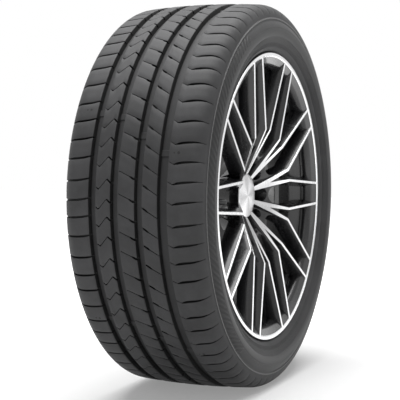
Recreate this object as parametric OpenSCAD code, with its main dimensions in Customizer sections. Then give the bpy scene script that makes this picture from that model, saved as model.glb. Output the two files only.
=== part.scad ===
// Road tyre fitted on a ten-spoke alloy wheel. Millimetres, +Z up.
// The wheel turns about the Y axis and its outboard face looks along -Y.
// Inside the modules the axle is the local z axis, with outboard at +z and z = 0
// in the middle plane of the rim.

/* [Tyre] */
// Outside diameter of the inflated tyre
tyre_od = 661.2; // [630:0.2:700]
// Width across the widest points of the sidewalls
section_w = 255; // [240:1:275]
// Radius at which the sidewall is widest
widest_r = 278; // [272:1:286]
// Radius of the bulging sidewall curve
sidewall_curve = 33.8; // [31:0.2:50]
// Thickness of the sidewall at its widest point
sidewall_t = 9; // [6:0.5:14]
// Casing thickness left under the grooves
under_tread = 9; // [6:0.5:14]
// How far the ridge at the tread edge stands out
edge_ridge = 0.9; // [0.4:0.1:2]
// How far the rim protector stands out of the sidewall
protector_h = 3; // [1:0.5:6]
// How far the tread is flattened where the tyre stands
flat_spot = 2; // [1:0.25:5]

/* [Tread] */
// Width between the two edges of the tread
tread_w = 233.8; // [220:0.2:240]
// Drop of the crown at the start of the shoulder
crown_drop = 3.6; // [1:0.1:8]
// Radius of the rounded shoulder
shoulder_r = 25; // [18:1:34]
// Depth of the four long grooves
groove_depth = 8; // [5:0.5:10]
// Width of the three inner grooves
groove_w = 13.2; // [8:0.2:18]
// Width of the groove beside the outer shoulder
outer_groove_w = 15.5; // [8:0.5:20]
// Distance between the middles of the three inner grooves
groove_gap = 40.4; // [34:0.2:48]
// Distance from the inmost groove to the middle of the tread
inmost_groove = 63.6; // [58:0.2:70]
// Distance from the outer groove to the middle of the tread
outer_groove = 56.3; // [50:0.2:64]
// Depth of the cross cuts
slot_depth = 6.5; // [3:0.5:8]
// Width of the slots across the inner shoulder
inner_slot_w = 2.6; // [1.5:0.1:5]
// Width of the blades across the outer shoulder
outer_slot_w = 3.4; // [1.5:0.1:5]
// Width of the cuts across the middle ribs
sipe_w = 1.6; // [1:0.1:3]

/* [Rim] */
// Nominal diameter of the bead seat
rim_d = 457.2; // [440:0.2:465]
// Width between the two flanges
rim_w = 216; // [206:1:222]
// Height of a flange over the bead seat
flange_h = 17.5; // [15:0.5:19]
// Radius of the rolled flange edge
flange_curve = 9.5; // [8:0.5:11]
// Width of the flat ring on the front of the flange
lip_w = 6; // [4:0.5:9]
// Wall thickness of the barrel
barrel_t = 5.5; // [4:0.5:8]
// Depth of the drop centre
well_depth = 22; // [16:1:28]
// Width of the floor of the drop centre
well_w = 38; // [24:1:50]

/* [Spokes] */
// Number of forked spokes
spoke_count = 10; // [8:2:12]
// Radius at which the two arms of a spoke part
fork_r = 56; // [50:1:70]
// Radius at which the arms bend
kink_r = 116; // [105:1:140]
// Height of the bend over the middle plane
kink_z = 105; // [98:1:110]
// Half angle between the two arms at the bend
kink_a = 5; // [3.5:0.25:7]
// Half angle between the two arms at the rim
rim_a = 13.35; // [11:0.05:15]
// Depth of the arms behind their front edge
arm_depth = 27; // [20:1:34]
// Width of the bright front edge of an arm
arm_w = 4.8; // [3:0.2:7]
// Extra width of an arm behind its front edge
arm_flare = 4; // [1:0.2:7]
// Depth of the narrow front edge before the arm widens
edge_depth = 9; // [5:0.5:13]
// Radius at which the pockets round the hub begin
pocket_r = 72; // [71:1:80]
// Radius of the rounded inner end of a pocket
pocket_end = 16; // [12:0.5:17]
// Radius of the web that joins the arms round the hub
hub_web_r = 98; // [92:1:104]
// Depth of the fields between the stems beside the cap
stem_step = 3; // [1:0.5:5]
// Height of the pocket floors over the middle plane
floor_z = 77; // [72:1:84]

/* [Hub] */
// Height of the mounting face over the middle plane
hub_face_z = 33; // [20:1:40]
// Diameter of the mounting face
hub_pad_d = 138; // [132:1:142]
// Centre bore that fits over the axle
bore_d = 66.6; // [57:0.1:72]
// Length of the centre bore
bore_len = 14; // [8:1:18]
// Number of wheel bolts
bolt_count = 5; // [4:1:6]
// Diameter of the bolt circle
bolt_circle_d = 112; // [110:0.1:115]
// Diameter of the bolt holes
bolt_hole_d = 15; // [12:0.5:17]
// Diameter of the socket wells in front of the bolts
bolt_well_d = 27; // [22:0.5:28]
// Height of the bottom of the wells over the middle plane
bolt_seat_z = 48; // [42:1:54]

/* [Centre cap] */
// Diameter of the cap
cap_d = 77.4; // [70:0.2:80]
// Height of the cap's edge over the middle plane
cap_z = 65.3; // [62:0.1:70]
// Thickness of the cap's disc at its edge
cap_t = 5.3; // [4:0.1:8]
// How far the middle of the cap stands over its edge
cap_dome = 1.6; // [0.6:0.1:4]
// Diameter of the ring of clips behind the cap
clip_d = 60; // [50:0.5:64]
// Length of the clips
clip_len = 10; // [6:0.5:12]
// Gap round the cap
cap_gap = 0.4; // [0.2:0.1:1]

/* [Valve] */
// Diameter of the rubber stem in front of the rim
stem_d = 10.5; // [9:0.1:14]
// Diameter of the hole that the stem snaps into
valve_hole_d = 11.4; // [11:0.1:16]
// Length of the stem in front of the rim
stem_len = 22; // [15:1:34]
// Diameter of the collars on both sides of the rim
collar_d = 15.4; // [14:0.2:19]
// Depth of the flat seats cut for the collars
spot_t = 0.4; // [0.2:0.1:1]
// Diameter of the brass tube inside the rubber
insert_d = 5; // [4:0.1:6]
// Diameter of the thread for the dust cap
thread_d = 7.7; // [7:0.1:7.8]
// Diameter of the dust cap
dust_cap_d = 9.6; // [8:0.2:12]
// Length of the dust cap
dust_cap_len = 11; // [8:0.5:16]

/* [Hidden] */
$fn = 72;
slack = 0.5;
tyre_r = tyre_od / 2;
rim_r = rim_d / 2;
flange_r = rim_r + flange_h;
flange_z = rim_w / 2;
lip_z = flange_z + flange_curve;
crown_r = tyre_r - crown_drop;
edge_z = tread_w / 2;
shoulder_z = edge_z - shoulder_r;
side_z = section_w / 2 - sidewall_curve;
channel_a = 180 / spoke_count;

function sum_to(v, n) = n == 0 ? 0 : v[n - 1] + sum_to(v, n - 1);
function reversed(p) = [for (i = [len(p) - 1 : -1 : 0]) p[i]];
function flipped(p) = [for (q = reversed(p)) [q[0], -q[1]]];
function arc(x, y, r, a0, a1, n) =
    [for (i = [0 : n]) [x + r * cos(a0 + (a1 - a0) * i / n), y + r * sin(a0 + (a1 - a0) * i / n)]];
function polar(r, a) = [r * cos(a), r * sin(a)];
function unit(v) = v / norm(v);

// Outline of a strip along a line of points, with mitred bends
function side_of(p, i) = let (
    a = unit(p[i] - p[max(i - 1, 0)] + (i == 0 ? p[1] - p[0] : [0, 0])),
    b = unit(p[min(i + 1, len(p) - 1)] - p[i] + (i == len(p) - 1 ? p[i] - p[i - 1] : [0, 0])),
    m = unit(a + b)) [-m[1], m[0]] / (m * a);
function strip(p, w) = concat(
    [for (i = [0 : len(p) - 1]) p[i] + side_of(p, i) * w / 2],
    [for (i = [len(p) - 1 : -1 : 0]) p[i] - side_of(p, i) * w / 2]);

// Bead seat and flange face as radius and height, shared by the tyre and the rim
taper = tan(5);
toe_z = flange_z - 20;
toe_r = rim_r - 20 * taper;
function bead_line(turn) = concat(
    [[toe_r, toe_z], [rim_r - 3.5 * taper, flange_z - 3.5], [rim_r + 3.4, flange_z]],
    arc(flange_r - flange_curve, lip_z, flange_curve, -90, -90 + turn, round(turn / 15)));

// Half section of the tyre, from the middle of the tread round to the middle of the lining
edge_r = crown_r - shoulder_r + 1.7;
lining_r = tyre_r - groove_depth - under_tread;
protector_r = flange_r + 8;
side_w = section_w / 2;
function tyre_half() = concat(
    [[tyre_r, 0], [tyre_r - 0.12 * crown_drop, 0.35 * shoulder_z], [tyre_r - 0.49 * crown_drop, 0.7 * shoulder_z]],
    arc(crown_r - shoulder_r, shoulder_z, shoulder_r, 3, 84, 7),
    [[edge_r - 0.5, edge_z + edge_ridge], [edge_r - 2.2, edge_z + edge_ridge]],
    arc(widest_r, side_z, sidewall_curve, 44, 126, 9),
    [[protector_r + 3, side_w - 7.5 + protector_h], [protector_r - 2, side_w - 8 + protector_h],
     [flange_r + 3, lip_z - 1], [flange_r + 0.6, lip_z - 4.5]],
    reversed(bead_line(45)),
    [[toe_r + 12, toe_z + 1], [toe_r + 28, toe_z + 15], [widest_r - 10, side_w - sidewall_t - 2],
     [widest_r + 2, side_w - sidewall_t], [edge_r - 9, edge_z - 6], [lining_r - 5, edge_z - 20],
     [lining_r - 1, shoulder_z - 20], [lining_r, 0]]);

// Middles of the four long grooves, inboard first, and the edges of the ribs between them
groove_z = [-inmost_groove, -inmost_groove + 0.955 * groove_gap, -inmost_groove + 2 * groove_gap, outer_groove];
groove_ws = [groove_w, groove_w, groove_w, outer_groove_w];
function rib_point(rib, share, along) =
    [along, (groove_z[rib] + groove_ws[rib] / 2) * (1 - share) + (groove_z[rib + 1] - groove_ws[rib + 1] / 2) * share];

// Lengths of the tread blocks in a quarter turn, varied as a road tyre varies them
blocks = [31, 35, 35, 31, 27, 27, 31, 27, 31, 35, 31, 27, 31, 35, 27, 31, 31];
function block_a(i) = 90 * (floor(i / len(blocks)) + sum_to(blocks, i % len(blocks)) / sum_to(blocks, len(blocks)));
function turn_of(length) = length / tyre_r * 180 / PI;

// The part's origin is where the axle line meets the mounting face
module in_frame() {
    translate([0, hub_face_z, 0]) rotate([90, 0, 0]) children();
}

module groove_profile(z, w) {
    polygon([[tyre_r - groove_depth, z - w / 2 + 1.4], [tyre_r + 1, z - w / 2 - 0.2],
             [tyre_r + 1, z + w / 2 + 0.2], [tyre_r - groove_depth, z + w / 2 - 1.4]]);
}

module tyre_ring() {
    rotate_extrude() difference() {
        polygon(concat(tyre_half(), flipped(tyre_half())));
        for (i = [0 : 3]) groove_profile(groove_z[i], groove_ws[i]);
    }
}

// A cut from the tread surface down to the slot depth, drawn as length along the tread and height
module tread_cut(angle, outline) {
    rotate([0, 0, angle]) translate([crown_r - slot_depth, 0, 0]) rotate([90, 0, 90])
        linear_extrude(slot_depth + crown_drop + 1) polygon(outline);
}

module inner_shoulder_slot(angle) {
    near = inmost_groove + groove_w / 2 + 4.5;
    rotate([90, 0, angle]) translate([0, 0, -inner_slot_w / 2]) linear_extrude(inner_slot_w)
        polygon([[tyre_r + 1, -near], [crown_r - slot_depth + 1.5, -near],
                 [crown_r - slot_depth - 1, -shoulder_z - 4], [edge_r + 6, -edge_z + 4],
                 [edge_r + 3, -edge_z - 4], [tyre_r + 1, -edge_z - 4]]);
}

module outer_shoulder_slot(angle) {
    near = outer_groove + outer_groove_w / 2 + 9;
    far = shoulder_z + 11;
    tread_cut(angle, [[3.5 - outer_slot_w / 2, near], [3.5 + outer_slot_w / 2, near],
                      [outer_slot_w * 0.2 - 0.5, far], [-outer_slot_w * 0.2 - 0.5, far]]);
}

module tread_block_cuts(i) {
    a = block_a(i);
    inner_shoulder_slot(a);
    tread_cut(a + turn_of(4.5), strip([rib_point(0, -0.04, 0.5), rib_point(0, 0.2, 3),
        rib_point(0, 0.78, -11.5), rib_point(0, 1.04, -8)], sipe_w));
    tread_cut(a + turn_of(5.7), strip([rib_point(1, 0.07, -11.5), rib_point(1, 0.63, -3),
        rib_point(1, 1.04, 0.3)], sipe_w));
    tread_cut(a + turn_of(0.7), strip([rib_point(2, -0.04, -14.5), rib_point(2, 0.37, -10),
        rib_point(2, 1.04, 0.4)], sipe_w));
    outer_shoulder_slot(a + turn_of(12));
}

module tyre() {
    color([0.1, 0.1, 0.1]) in_frame() difference() {
        tyre_ring();
        for (i = [0 : 4 * len(blocks) - 1]) tread_block_cuts(i);
        translate([-tyre_r / 2, -tyre_r - 10, -tread_w]) cube([tyre_r, 10 + flat_spot, 2 * tread_w]);
    }
}

// Front edge of the spokes as radius and height, straight from the cap to the bend and on to the lip
lip_in_r = flange_r - lip_w - 2;
lip_in_z = lip_z - 2.5;
seat_r = cap_d / 2 + cap_gap;
hub_slope = (kink_z - cap_z) / (kink_r - cap_d / 2);
function hub_face(r) = cap_z + (r - cap_d / 2) * hub_slope;
seat_z = cap_z - cap_t;
web_z = floor_z - 15;
wall_r = rim_r - 1.5 - barrel_t / 2;

// Outboard wall of the drop centre, which carries the valve
slope_top = [toe_r - 1, toe_z - 9];
slope_foot = [rim_r - well_depth, toe_z - 22];
lean = atan2(slope_top[1] - slope_foot[1], slope_top[0] - slope_foot[0]);
through_wall = barrel_t * [-sin(lean), cos(lean)];
well_end = slope_foot[1] - well_w;

function lip_side() = [[flange_r - 0.8, lip_z + 1], [flange_r - lip_w, lip_z + 1], [lip_in_r, lip_in_z],
    [rim_r + 0.4, flange_z + 3.5], [rim_r - barrel_t, flange_z - 4], [toe_r - barrel_t, toe_z]];
function inboard(p) = [for (q = p) [q[0], -q[1]]];

module barrel() {
    rotate_extrude() polygon(concat(
        reversed(bead_line(90)),
        [[toe_r + 0.9, toe_z - 3], [toe_r + 0.9, toe_z - 6], slope_top, slope_foot,
         [slope_foot[0], well_end], [toe_r - 4, well_end - 20], [toe_r - 2, 9 - toe_z],
         [toe_r + 0.9, 6 - toe_z], [toe_r + 0.9, 3 - toe_z]],
        inboard(bead_line(90)),
        inboard(lip_side()),
        [[toe_r - 2 - barrel_t, 9 - toe_z], [toe_r - 4 - barrel_t, well_end - 23],
         [slope_foot[0] - barrel_t, well_end - 2], [slope_foot[0] - barrel_t, slope_foot[1] + 1],
         slope_foot + through_wall, slope_top + through_wall],
        reversed(lip_side())));
}

// Plan of the spokes, drawn with the first fork along +x
function arm_line(side) = [[fork_r, 0], polar(kink_r, side * kink_a), polar(lip_in_r + 4, side * rim_a)];

module arms_plan(w) {
    for (i = [0 : spoke_count - 1]) rotate(channel_a + i * 2 * channel_a) {
        for (side = [-1, 1]) polygon(strip(arm_line(side), w));
        polygon(strip([[seat_r - 2, 0], [fork_r + 2, 0]], w));
    }
}

module pocket_plan() {
    translate([pocket_r + pocket_end, 0]) circle(pocket_end);
    polygon([[pocket_r + pocket_end, -pocket_end], [hub_web_r + 4, -kink_r * sin(channel_a - kink_a)],
             [hub_web_r + 4, kink_r * sin(channel_a - kink_a)], [pocket_r + pocket_end, pocket_end]]);
}

module body_plan() {
    difference() {
        circle(hub_web_r);
        for (i = [0 : spoke_count - 1]) rotate(i * 2 * channel_a) pocket_plan();
    }
    arms_plan(arm_w + arm_flare);
}

// Hub and arms up to where the narrow front edges begin
module body() {
    intersection() {
        rotate_extrude() polygon([
            [clip_d / 2, hub_face_z + bore_len], [bore_d / 2, hub_face_z + bore_len],
            [bore_d / 2, hub_face_z], [hub_pad_d / 2, hub_face_z], [hub_pad_d / 2 + 3, web_z],
            [kink_r, kink_z - arm_depth], [wall_r, lip_in_z - arm_depth], [wall_r, flange_z - 6],
            [rim_r - 0.5, lip_in_z - edge_depth], [kink_r, kink_z - edge_depth],
            [pocket_r, hub_face(pocket_r) - stem_step], [seat_r, hub_face(seat_r) - stem_step],
            [seat_r, seat_z], [clip_d / 2, seat_z]]);
        linear_extrude(lip_z) body_plan();
    }
}

module front_edges() {
    intersection() {
        rotate_extrude() polygon([
            [seat_r, hub_face(seat_r)], [kink_r, kink_z], [lip_in_r, lip_in_z], [lip_in_r - 4, lip_in_z - 4],
            [rim_r - 0.5, lip_in_z - edge_depth - 1], [kink_r, kink_z - edge_depth - 1],
            [pocket_r, hub_face(pocket_r) - stem_step - 1], [seat_r, hub_face(seat_r) - stem_step - 1]]);
        linear_extrude(lip_z) arms_plan(arm_w);
    }
}

// Floors of the channels that run out from the bolts
module channel_floors() {
    intersection() {
        rotate_extrude() polygon([[pocket_r - 2, web_z + 1], [kink_r + 4, kink_z - arm_depth + 1],
            [kink_r + 4, floor_z + 8], [pocket_r - 2, floor_z]]);
        linear_extrude(lip_z) for (i = [0 : bolt_count - 1]) rotate(i * 360 / bolt_count)
            polygon([[pocket_r - 1, -pocket_end - 1], [kink_r * cos(channel_a - kink_a), -kink_r * sin(channel_a - kink_a)],
                     [kink_r * cos(channel_a - kink_a), kink_r * sin(channel_a - kink_a)], [pocket_r - 1, pocket_end + 1]]);
    }
}

module bolt_hole() {
    seat_w = bolt_well_d / 2 - 2.5;
    translate([bolt_circle_d / 2, 0, hub_face_z - slack]) cylinder(d = bolt_hole_d, h = lip_z);
    translate([bolt_circle_d / 2, 0, bolt_seat_z - (seat_w - bolt_hole_d / 2)])
        cylinder(r1 = bolt_hole_d / 2, r2 = seat_w, h = seat_w - bolt_hole_d / 2);
    translate([bolt_circle_d / 2, 0, bolt_seat_z]) cylinder(d = bolt_well_d, h = lip_z);
}

// Middle of the valve hole on the tyre's side of the wall, with local z through the wall
module at_valve() {
    foot = (slope_top + slope_foot) / 2;
    rotate([0, 0, 180]) translate([foot[0], 0, foot[1]]) rotate([0, -lean, 0]) children();
}

module valve_hole() {
    at_valve() {
        translate([0, 0, -10]) cylinder(d = valve_hole_d, h = 30);
        translate([0, 0, spot_t - 6]) cylinder(d = collar_d + 1, h = 6);
        translate([0, 0, barrel_t - spot_t]) cylinder(d = collar_d + 1, h = 6);
    }
}

module wheel() {
    color([0.55, 0.56, 0.58]) in_frame() difference() {
        union() {
            barrel();
            body();
            front_edges();
            channel_floors();
        }
        for (i = [0 : bolt_count - 1]) rotate(i * 360 / bolt_count) bolt_hole();
        valve_hole();
    }
}

module centre_cap() {
    edge = cap_d / 2;
    dome_r = (pow(edge - 1.2, 2) + pow(cap_dome, 2)) / (2 * cap_dome);
    dome_a = asin((edge - 1.2) / dome_r);
    color([0.8, 0.8, 0.82]) in_frame() difference() {
        rotate_extrude() polygon(concat(
            arc(0, cap_z + cap_dome - dome_r, dome_r, 90, 90 - dome_a, 6),
            [[edge, cap_z - 1.2], [edge, seat_z], [clip_d / 2, seat_z], [clip_d / 2, seat_z - clip_len],
             [clip_d / 2 - 2, seat_z - clip_len], [clip_d / 2 - 2.4, seat_z + 2], [0, seat_z + 2]]));
        for (i = [0 : 3]) rotate(i * 45) translate([-edge, -2, seat_z - clip_len - slack])
            cube([2 * edge, 4, clip_len]);
    }
}

module valve_stem() {
    front = barrel_t - spot_t;
    color([0.08, 0.08, 0.08]) in_frame() at_valve() rotate_extrude() polygon([
        [insert_d / 2, -5], [valve_hole_d / 2 - 1.5, -5], [collar_d / 2, -2], [collar_d / 2, spot_t],
        [valve_hole_d / 2, spot_t], [valve_hole_d / 2, front], [collar_d / 2, front],
        [collar_d / 2, front + 2], [stem_d / 2 + 0.8, front + 4], [stem_d / 2, front + stem_len],
        [insert_d / 2, front + stem_len]]);
}

module valve_insert() {
    front = barrel_t - spot_t + stem_len;
    color([0.75, 0.6, 0.3]) in_frame() at_valve() rotate_extrude() polygon([
        [1.2, -5], [insert_d / 2, -5], [insert_d / 2, front], [thread_d / 2, front],
        [thread_d / 2, front + dust_cap_len - 3], [1.2, front + dust_cap_len - 3]]);
}

module valve_cap() {
    front = barrel_t - spot_t + stem_len;
    color([0.05, 0.05, 0.05]) in_frame() at_valve() rotate_extrude() polygon([
        [thread_d / 2, front], [dust_cap_d / 2, front], [dust_cap_d / 2 - 0.4, front + dust_cap_len - 1],
        [dust_cap_d / 2 - 1.4, front + dust_cap_len], [0, front + dust_cap_len],
        [0, front + dust_cap_len - 2], [thread_d / 2, front + dust_cap_len - 2]]);
}

tyre();
wheel();
centre_cap();
valve_stem();
valve_insert();
valve_cap();
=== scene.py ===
"""Road tyre on a ten-spoke alloy wheel, finished over its CAD parts.

The axle lies along Y and the outer face of the wheel looks along -Y. Across the tread,
positions are millimetres from the middle plane, outboard positive. Along the tread they
are millimetres of arc, measured from the side that faces the camera and growing downwards.
"""

import functools
import math
from dataclasses import dataclass

import bmesh
import bpy
import numpy as np
from mathutils import Matrix, Vector


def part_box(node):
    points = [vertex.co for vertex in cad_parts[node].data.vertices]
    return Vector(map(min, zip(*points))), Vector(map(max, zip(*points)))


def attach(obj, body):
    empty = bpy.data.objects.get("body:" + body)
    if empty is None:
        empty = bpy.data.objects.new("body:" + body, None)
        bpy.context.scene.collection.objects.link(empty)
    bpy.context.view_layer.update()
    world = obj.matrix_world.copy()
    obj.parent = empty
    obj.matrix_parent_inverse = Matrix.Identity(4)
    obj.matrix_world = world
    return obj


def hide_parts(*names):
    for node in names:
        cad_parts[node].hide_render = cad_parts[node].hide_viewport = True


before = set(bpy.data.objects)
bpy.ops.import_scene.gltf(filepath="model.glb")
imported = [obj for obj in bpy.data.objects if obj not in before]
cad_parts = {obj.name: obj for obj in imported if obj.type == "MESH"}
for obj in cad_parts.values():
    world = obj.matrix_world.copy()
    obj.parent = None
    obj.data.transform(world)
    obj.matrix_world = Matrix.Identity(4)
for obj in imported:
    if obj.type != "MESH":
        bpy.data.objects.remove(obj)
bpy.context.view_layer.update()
tyre_low, tyre_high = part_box("tyre")
middle_y = (tyre_low.y + tyre_high.y) / 2

bl_info = {
    "name": "Road tyre on a forked-spoke wheel",
    "version": (1, 0, 0),
    "blender": (4, 5, 0),
    "location": "View3D > Sidebar > Tyre",
    "description": "Builds the patterned tyre and finishes the alloy wheel, cap and valve",
    "category": "Object",
}

MM = 0.001
SHARP_ANGLE = math.radians(32)

# Profile of the tread and shoulder, and the lowest radius of the tread's cuts, in millimetres
CROWN_DROP = 3.63
CROWN_END = 93.2
SHOULDER_R = 25.0
SHOULDER_MIDDLE = (302.0, 91.9)
SHOULDER_START = math.radians(3)
SHOULDER_END = 128.55
TREAD_R = 330.6
TREAD_INNER_R = 304.5

# Three block lengths, mixed round the tread as a road tyre mixes them
BLOCK_LENGTHS = {"S": 27.0, "M": 30.2, "L": 34.2}
BLOCK_ORDER = "SMSSMMLLMMMLMSMLMSMMSSMLMMSMLMSMMLMSMMLSMMSLMMSMMSLMMSMMLSMMSMLMSMSMM"
FIRST_BLOCK_AT = -402.2

# Each side's bulge as (middle radius, middle height, radius, last angle), in millimetres and degrees
OUTBOARD_BULGE = (283.0, 101.4, 22.8, 113.0)
INBOARD_BULGE = (278.0, 93.7, 33.8, 120.0)
# Each side's rolled rim edge as (height of its middle, radius, height of the flange face)
OUTBOARD_EDGE = (109.6, 8.0, 101.6)
INBOARD_EDGE = (117.5, 9.5, 108.0)
FLANGE_R = 246.1

# Sidewall as (radius, height): ridge at the tread edge, inside of the tyre, radius of the moulded line
TREAD_EDGE = [(303.9, 117.5), (303.5, 118.2), (302.1, 118.3), (301.2, 117.3)]
LINING = [(280.0, 115.0), (294.7, 110.9), (308.6, 96.9), (312.6, 71.9), (313.6, 0.0)]
MOULD_LINE_R = 287.5
# Section of the moulded line as (degrees past its start, height)
MOULD_LINE = [(0.0, -0.4), (2.0, -0.4), (2.6, 0.0)]
# Fine ribs on its straight stretch: bare ends, pitch, and section as (along, share of the rib's height)
FINE_RIB_MARGINS = (1.4, 2.0)
FINE_RIB_PITCH = 1.7
FINE_RIB = [(0.0, 0.0), (0.3, 1.0), (0.9, 1.0), (1.2, 0.0)]
# Protector over the rim's edge, as (radius, height over the middle of the rolled edge)
PROTECTOR = [(256.8, 4.4), (256.4, 5.0), (255.0, 4.6), (252.5, 3.0), (251.4, 2.0), (249.6, 0.3), (246.7, -4.5)]
# Bead seat as (radius, distance behind the flange face), and bead inside as (radius, height over its toe)
BEAD_SEAT = [(232.0, 0.0), (228.3, 3.5), (226.85, 20.0)]
BEAD_INSIDE = [(238.85, 1.0), (254.85, 15.0)]
# Where each side's lining starts, as (radius, height)
OUTBOARD_LINING = (268.0, 112.1)
INBOARD_LINING = (268.0, 116.5)

# Depths over which painted shade darkens a cut, and how much of that painted shade the groove floors lack
CUT_SHADE = (0.35, 2.2)
FLOOR_SHADE_LACK = 0.68
# Where the rubber's look changes: start of the sidewall, and the ridge beside the tread that gets a painted
# highlight, in millimetres
SIDEWALL_FROM = (116.5, 117.5)
RIDGE_R = (301.5, 303.6)
RIDGE_FROM = 117.8
# Hatched band, darkened with painted shade: radii over which it appears and fades, waves per turn and per
# metre, height in metres, middle of its two stretches in degrees, and the cosines over which they end
HATCH_R = ((287.6, 288.0), (300.8, 301.1))
HATCH_WAVES = (160.0, 900.0)
HATCH_HEIGHT = 0.0011
HATCH_MIDDLE = 176.0
HATCH_ENDS = (0.525, 0.53)


@dataclass
class Rib:
    """One band of tread blocks between two grooves, or between a groove and the shoulder."""

    low: float
    high: float
    shift: float
    cut: list
    low_end: float = 6.5
    high_end: float = 6.5


# Each cut is a line of (across, along, width, depth), in millimetres
RIBS = [
    Rib(-SHOULDER_END, -67.6, 0.0, [
        (-128.55, 0.6, 2.9, 0.0), (-125.0, 0.6, 3.0, 1.6), (-118.0, 0.5, 3.1, 3.2),
        (-108.0, 0.4, 3.2, 5.2), (-98.0, 0.3, 3.4, 6.5), (-90.0, 0.1, 3.5, 6.5),
        (-80.0, -0.9, 3.4, 6.5), (-72.0, -2.3, 3.1, 6.5), (-67.6, -3.2, 2.6, 6.5)]),
    Rib(-54.4, -29.3, 9.5, [
        (-54.4, 0.0, 1.8, 6.0), (-50.0, 3.3, 2.1, 6.0), (-48.4, 2.8, 1.6, 6.0),
        (-36.8, -10.2, 1.2, 6.0), (-35.2, -11.3, 2.1, 6.0), (-33.4, -10.2, 3.6, 6.0),
        (-29.3, -6.5, 3.6, 6.0)], low_end=6.0, high_end=6.0),
    Rib(-16.1, 11.4, 19.7, [
        (-16.1, -0.6, 0.0, 0.0), (-15.0, -0.2, 0.0, 0.0), (-14.4, 0.0, 1.1, 4.0),
        (2.6, 7.6, 1.2, 5.0), (4.6, 8.8, 3.2, 6.0), (9.2, 11.2, 3.8, 6.0), (11.4, 11.75, 3.5, 6.0)],
        high_end=6.0),
    Rib(24.6, 49.0, 39.5, [
        (24.6, 0.0, 3.0, 6.0), (32.4, 5.2, 3.8, 6.0), (35.0, 7.0, 1.4, 5.0),
        (49.0, 15.5, 1.2, 4.0)], low_end=6.0, high_end=4.0),
    Rib(65.0, SHOULDER_END, 65.0, [
        (65.0, -0.4, 0.9, 4.0), (72.4, 3.6, 1.0, 4.0), (73.4, 3.9, 1.6, 6.5), (80.0, 2.2, 3.9, 6.5),
        (88.0, 1.0, 4.0, 6.5), (98.0, 0.1, 3.4, 6.5), (108.0, -0.7, 2.3, 5.0),
        (113.5, -1.0, 1.0, 2.6), (122.0, -1.3, 0.9, 1.2), (124.5, -1.4, 0.0, 0.0),
        (128.55, -1.5, 0.0, 0.0)], low_end=4.0),
]
# How far a groove wall leans, how wide and deep a block's edge is rounded, and from which width a cut's is
WALL_LEAN = 1.4
EDGE_ROUND = 0.5
EDGE_DROP = 0.3
CUT_DROP = 0.25
SIPE_WIDTH = 0.9
# Widest face across the crown and across the shoulder
ROW_STEPS = (9.0, 4.5)
# Place along the tread of the first wear bar in each groove, and its half lengths below and above
WEAR_BARS = [-146.0, -139.0, -107.5, -80.0]
WEAR_BAR_HALVES = (6.0, 4.5)
WEAR_BAR_SETS = 6
# How far a wear bar is sunk in the groove floor, and how far it ends inside the groove's edges
WEAR_BAR_SUNK = 0.4
WEAR_BAR_INSET = 0.6
# Small vent pits beside the shoulder slots, painted as dark spots of shade, as (across, along, radius),
# outside a radius
PIT_FLOOR_R = 320.0
VENT_PITS = [(-86.0, -150.0, 1.4), (-79.5, -150.0, 1.9), (73.0, -80.0, 1.3), (80.0, -80.0, 2.3)]

# Forked spokes, in millimetres and degrees, with the first fork's middle at FIRST_FORK
SPOKES = 10
FIRST_FORK = 16.8
KINK = (115.0, 5.0, 100.0)
ARM_END = (240.0, 13.4, 110.0)
FORK_R = 71.8
HUB_SLOPE = 0.5051
ARM_SLOPE = (ARM_END[2] - KINK[2]) / (ARM_END[0] - KINK[0])
# Half width of an arm at depths behind its front edge
ARM_SECTION = [(2.1, 0.0), (2.35, 0.35), (4.45, 9.1), (7.95, 18.1), (7.95, 27.1)]
# Radius at which an arm meets the inside of the rim at the same depths
ARM_REACH = [240.2, 239.6, 229.5, 224.5, 224.0]
# Half width of a stem's front, and the radius at which it goes under the cap
STEM = (3.0, 34.0)
# Depth of the turned finish behind a spoke's front
TURNED_DEPTH = 0.45
# How much nearer the axle than its two radii the rim's turned ring lies, and its depth below its face
RING_MARGINS = (0.4, 0.2)
# Radii over which the painted shade on the turned stems fades out, and the radius and height from which the
# lip begins
STEM_PAINTED_SHADE_R = (68.0, 104.0)
LIP_FROM = (227.5, 103.5)

# Faces round the sidewalls, barrel, hub, bolt wells and cap, and the hub's edge rounding in millimetres
SIDEWALL_FACES = 220
BARREL_FACES = 180
HUB_FACES = 120
WELL_FACES = 32
CAP_FACES = 128
HUB_ROUNDING = 0.6

# Barrel as (radius, height) in four stretches round its section, between the two rolled edges
RIM_FACE = [(221.6, 88.0), (223.1, 97.6), (229.0, 105.1), (240.0, 110.0), (240.6, 110.6), (245.3, 110.6)]
RIM_WELL = [(225.85, 79.0), (206.6, 66.0), (206.6, 28.0), (222.85, 8.0), (224.85, -79.0)]
RIM_BACK = [
    (245.3, -118.5), (240.1, -118.5), (238.1, -115.0), (229.0, -111.5), (223.1, -104.0), (221.35, -88.0)]
RIM_INSIDE = [(219.35, -79.0), (217.35, 5.0), (201.1, 26.0), (201.1, 67.0), (203.52, 70.56), (222.77, 83.56)]

# Hub as (radius, height) round its section, from the cap seat over the front to the bore
HUB_PROFILE = [
    (29.0, 51.0), (38.0, 51.2), (44.0, 53.5), (72.0, 74.0), (97.4, 86.6), (98.0, 86.0), (98.0, 67.0),
    (72.0, 58.0), (69.0, 33.0), (33.3, 33.0), (33.3, 47.0), (29.0, 47.0)]
# Pockets between the forks: start, rounded end, and the half width and radius where they open out
POCKET = (72.0, 16.0, 25.9, 102.0)
POCKET_BOTTOM = 40.0
ABOVE_HUB = 112.0
# Height of a channel's floor where the pocket starts, and its slope
CHANNEL_FLOOR = (73.0, 0.16)
CHANNELS = 5
# Channel floor past the hub: corner of its near end, angle of its far end, heights of its underside
CHANNEL_NEAR = (94.0, 21.0)
CHANNEL_SPREAD = 13.0
CHANNEL_UNDERSIDE = [64.0, 74.0, 74.0, 64.0]
BOLT_CIRCLE_R = 56.0
# Bolt well as (radius, height), from below
BOLT_WELL = [(7.5, 30.0), (7.5, 44.5), (11.0, 48.0), (13.5, 48.0), (13.5, 80.0)]
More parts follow.
